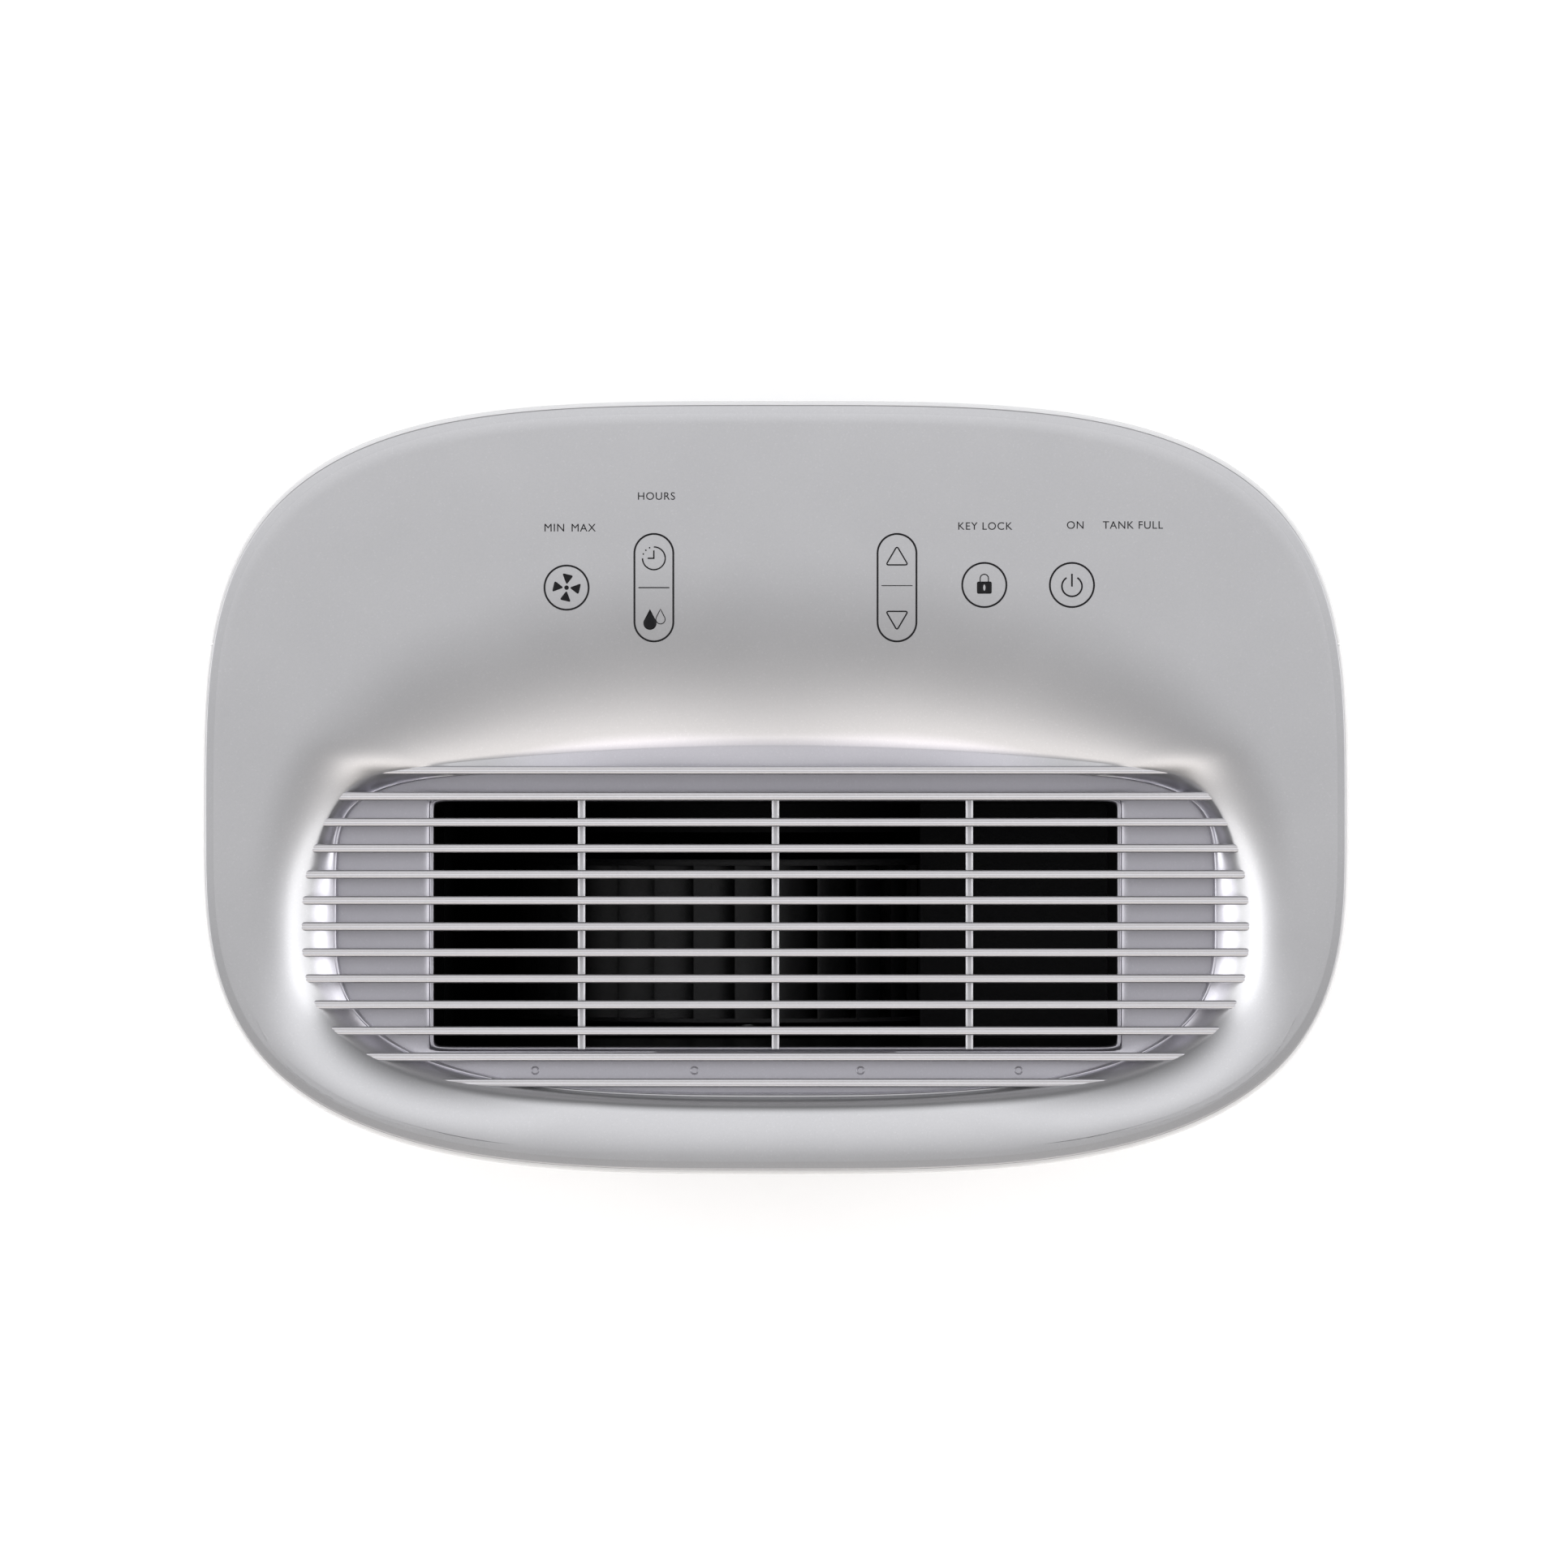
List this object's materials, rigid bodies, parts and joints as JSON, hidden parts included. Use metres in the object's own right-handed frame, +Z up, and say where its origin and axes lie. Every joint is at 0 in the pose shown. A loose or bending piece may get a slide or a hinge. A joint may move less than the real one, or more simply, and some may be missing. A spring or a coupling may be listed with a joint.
{
  "type": "dehumidifier",
  "caption": "Free-standing compressor dehumidifier with rounded casing, dished top outlet grille, slide-out water tank, rear intake filter, cooling coils and fan inside.",
  "frame": {"origin": "on the floor, under the middle of the plan", "axes": "+Z up, +X to the right seen from the front, -Y towards the front with the tank, +Y towards the intake"},
  "size_m": [0.35, 0.236, 0.5],
  "materials": {
    "white_shell": "glossy white ABS moulding",
    "silver_paint": "fine metallic silver paint on ABS, satin",
    "grey_plastic": "fine-textured grey moulding",
    "dark_plastic": "matt black moulding",
    "steel": "zinc-plated steel",
    "motor_case": "grey painted pressed steel",
    "bronze": "sintered bronze",
    "tank_smoke": "smoke-tinted polypropylene",
    "clear_window": "clear polycarbonate",
    "white_plastic": "natural white nylon",
    "foam": "expanded polystyrene beads",
    "magnet": "plated magnet",
    "filter_net": "fine black nylon net",
    "coil_aluminium": "bare thin aluminium",
    "copper": "drawn copper tube with brazed joints",
    "black_enamel": "black stove enamel on steel",
    "rubber": "black rubber",
    "circuit_board": "green solder mask"
  },
  "bodies": {
    "housing": {"base_tray": "white_shell", "rubber_feet": "rubber", "front_casing": "white_shell", "rear_casing": "white_shell", "top_cover": "silver_paint", "outlet_duct": "silver_paint", "outlet_bars": "silver_paint", "outlet_ribs": "silver_paint", "side_grip_left": "grey_plastic", "side_grip_right": "grey_plastic", "mid_frame": "grey_plastic", "scroll_housing": "dark_plastic", "scroll_cover": "dark_plastic", "inlet_ring": "dark_plastic", "fan_motor": "motor_case", "motor_bushes": "bronze", "motor_screws": "steel", "evaporator_fins": "coil_aluminium", "evaporator_tubes": "copper", "condenser_fins": "coil_aluminium", "condenser_tubes": "copper", "drip_tray": "grey_plastic", "compressor": "black_enamel", "accumulator": "black_enamel", "compressor_grommets": "rubber", "compressor_bolts": "steel", "suction_pipe": "copper", "discharge_pipe": "copper", "filter_drier": "copper", "capillary_tube": "copper", "electrical_box": "dark_plastic", "box_cover": "grey_plastic", "main_board": "circuit_board", "run_capacitor": "coil_aluminium", "touch_board": "circuit_board", "display_module": "dark_plastic", "humidity_sensor": "white_plastic", "reed_switch": "white_plastic", "drain_spigot": "dark_plastic", "cord_gland": "dark_plastic", "casing_screws": "steel", "base_screws": "steel"},
    "fan": {"fan_wheel": "dark_plastic", "motor_shaft": "steel", "shaft_nut": "steel"},
    "tank": {"water_tank": "tank_smoke", "tank_front": "white_shell", "level_window": "clear_window", "tank_lid": "grey_plastic", "float_pin": "steel"},
    "handle": {"tank_handle": "grey_plastic"},
    "float": {"float_lever": "white_plastic", "float_block": "foam", "float_magnet": "magnet"},
    "intake": {"intake_grille": "white_shell", "filter_frame": "dark_plastic", "filter_mesh": "filter_net"},
    "plug": {"drain_plug": "rubber"}
  },
  "joints": [
    {"name": "fan_spin", "type": "hinge", "parent": "housing", "child": "fan", "pos_m": [-0.009, -0.0487, 0.33], "axis": [0, 1, 0], "continuous": true},
    {"name": "tank_slide", "type": "slide", "parent": "housing", "child": "tank", "axis": [0, -1, 0], "range_m": [0, 0.12]},
    {"name": "handle_swing", "type": "hinge", "parent": "tank", "child": "handle", "pos_m": [0, -0.0626, 0.1513], "axis": [1, 0, 0], "range_deg": [0, 90]},
    {"name": "float_swing", "type": "hinge", "parent": "tank", "child": "float", "pos_m": [-0.096, -0.0212, 0.1443], "axis": [-1, 0, 0], "range_deg": [0, 18]},
    {"name": "intake_slide", "type": "slide", "parent": "housing", "child": "intake", "axis": [0, 1, 0], "range_m": [0, 0.06]},
    {"name": "plug_slide", "type": "slide", "parent": "housing", "child": "plug", "axis": [0, 1, 0], "range_m": [0, 0.03]}
  ]
}
